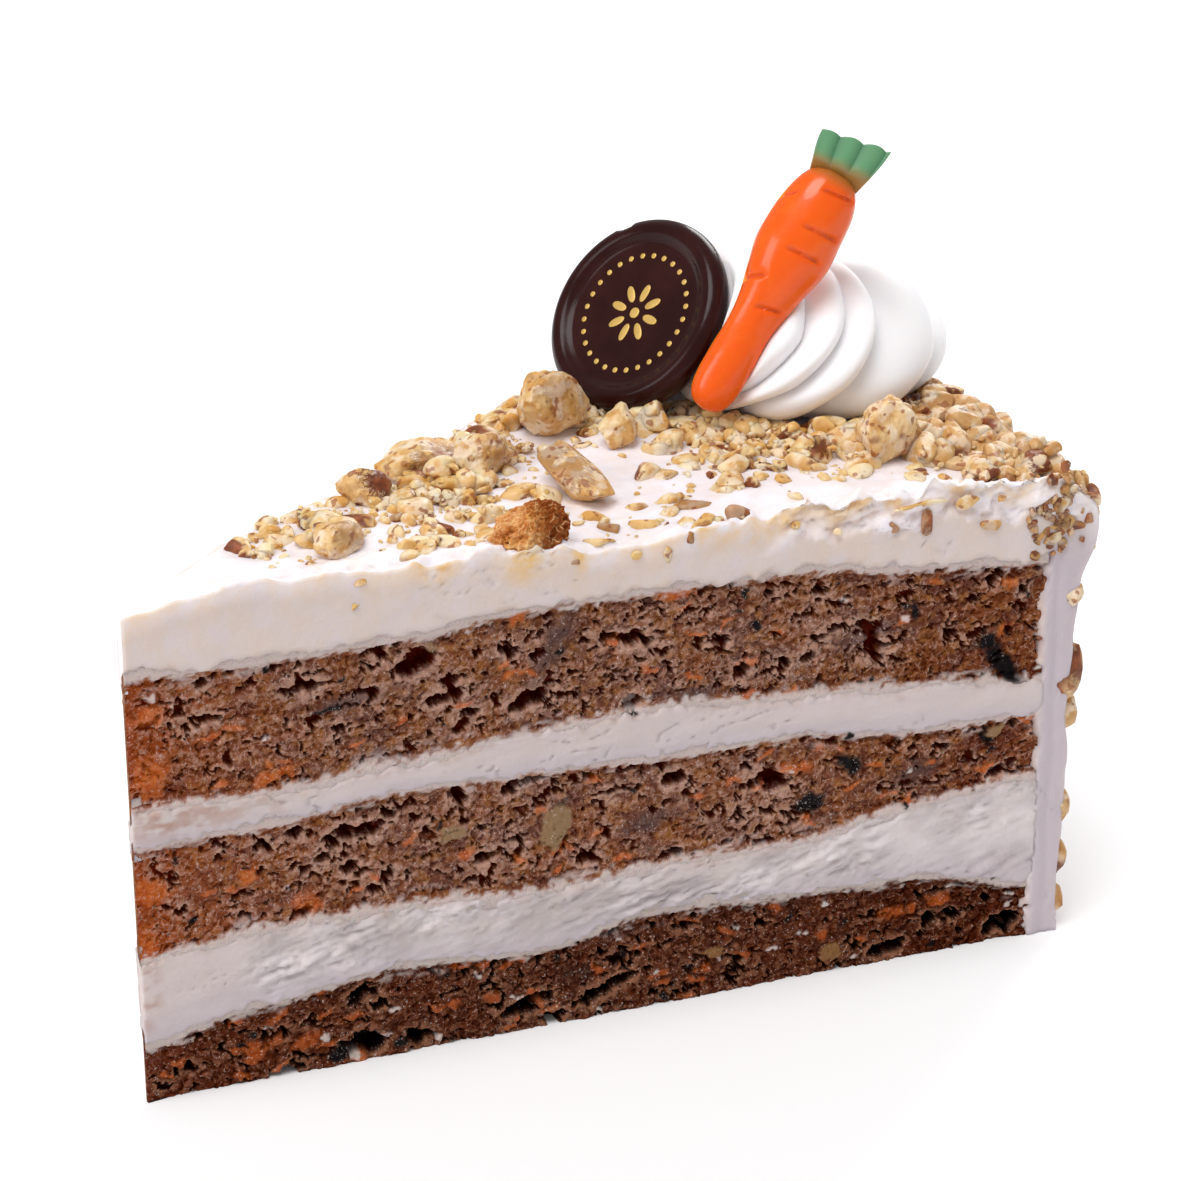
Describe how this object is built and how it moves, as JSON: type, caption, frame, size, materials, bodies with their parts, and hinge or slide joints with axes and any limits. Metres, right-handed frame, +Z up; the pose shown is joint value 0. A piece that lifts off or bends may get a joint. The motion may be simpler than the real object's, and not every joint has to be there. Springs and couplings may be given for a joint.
{
  "type": "carrot cake slice",
  "caption": "Wedge of layered carrot cake with cream fillings, chopped walnuts, a piped cream rosette, a chocolate disc and a sugar carrot on top.",
  "frame": {"origin": "under the middle of the slice's bounding box, on the surface it stands on", "axes": "+X from the cut's tip to the outer wall along the middle of the wedge, +Y towards the far cut, +Z up"},
  "size_m": [0.1346, 0.082, 0.1089],
  "materials": {
    "dark_sponge": "moist dark brown crumb with carrot shreds",
    "sponge": "open moist brown crumb with carrot shreds and walnut",
    "cream": "soft satin cream",
    "frosting": "soft satin cream with chopped walnut",
    "whipped_cream": "smooth satin",
    "walnut": "waxy with brown skin",
    "chocolate": "satin gloss",
    "sugar_carrot": "glossy moulded sugar, green crown"
  },
  "bodies": {
    "root": {"sponge_bottom": "dark_sponge", "cream_lower": "cream", "sponge_middle": "sponge", "cream_upper": "cream", "sponge_top": "sponge", "frosting": "frosting", "walnut_1": "walnut", "walnut_2": "walnut", "walnut_3": "walnut", "walnut_4": "walnut", "walnut_5": "walnut", "walnut_6": "walnut", "walnut_7": "walnut", "walnut_8": "walnut", "chocolate_disc": "chocolate", "sugar_carrot": "sugar_carrot", "rosette": "whipped_cream"}
  },
  "joints": []
}
